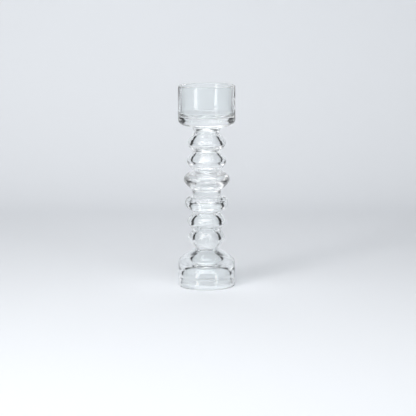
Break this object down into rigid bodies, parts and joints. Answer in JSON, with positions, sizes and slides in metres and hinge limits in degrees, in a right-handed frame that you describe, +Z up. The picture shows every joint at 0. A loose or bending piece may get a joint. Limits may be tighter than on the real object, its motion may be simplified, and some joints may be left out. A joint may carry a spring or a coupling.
{
  "type": "glass candlestick",
  "caption": "Tall clear glass candlestick: a cylindrical cup for a pillar candle on a hollow stem of round knops, over a flared cylindrical foot.",
  "frame": {"origin": "on the axis of symmetry, at the level of the foot's ground rim", "axes": "+Z up along the axis, from the foot to the candle cup; the object is round, so X and Y are free"},
  "size_m": [0.092, 0.092, 0.326],
  "materials": {
    "cup_glass": "fire-polished clear glass with a faint sea-green tint in its thick parts",
    "stem_glass": "fire-polished clear glass, slightly wavy, with tiny seeds",
    "foot_glass": "fire-polished clear glass, the rim it stands on ground flat"
  },
  "bodies": {
    "root": {"foot": "foot_glass", "small_knop": "stem_glass", "lower_knop": "stem_glass", "disc_knop": "stem_glass", "waist_merese": "stem_glass", "bowl_knop": "stem_glass", "middle_knop": "stem_glass", "top_knop": "stem_glass", "cup_collar": "stem_glass", "candle_cup": "cup_glass"}
  },
  "joints": []
}
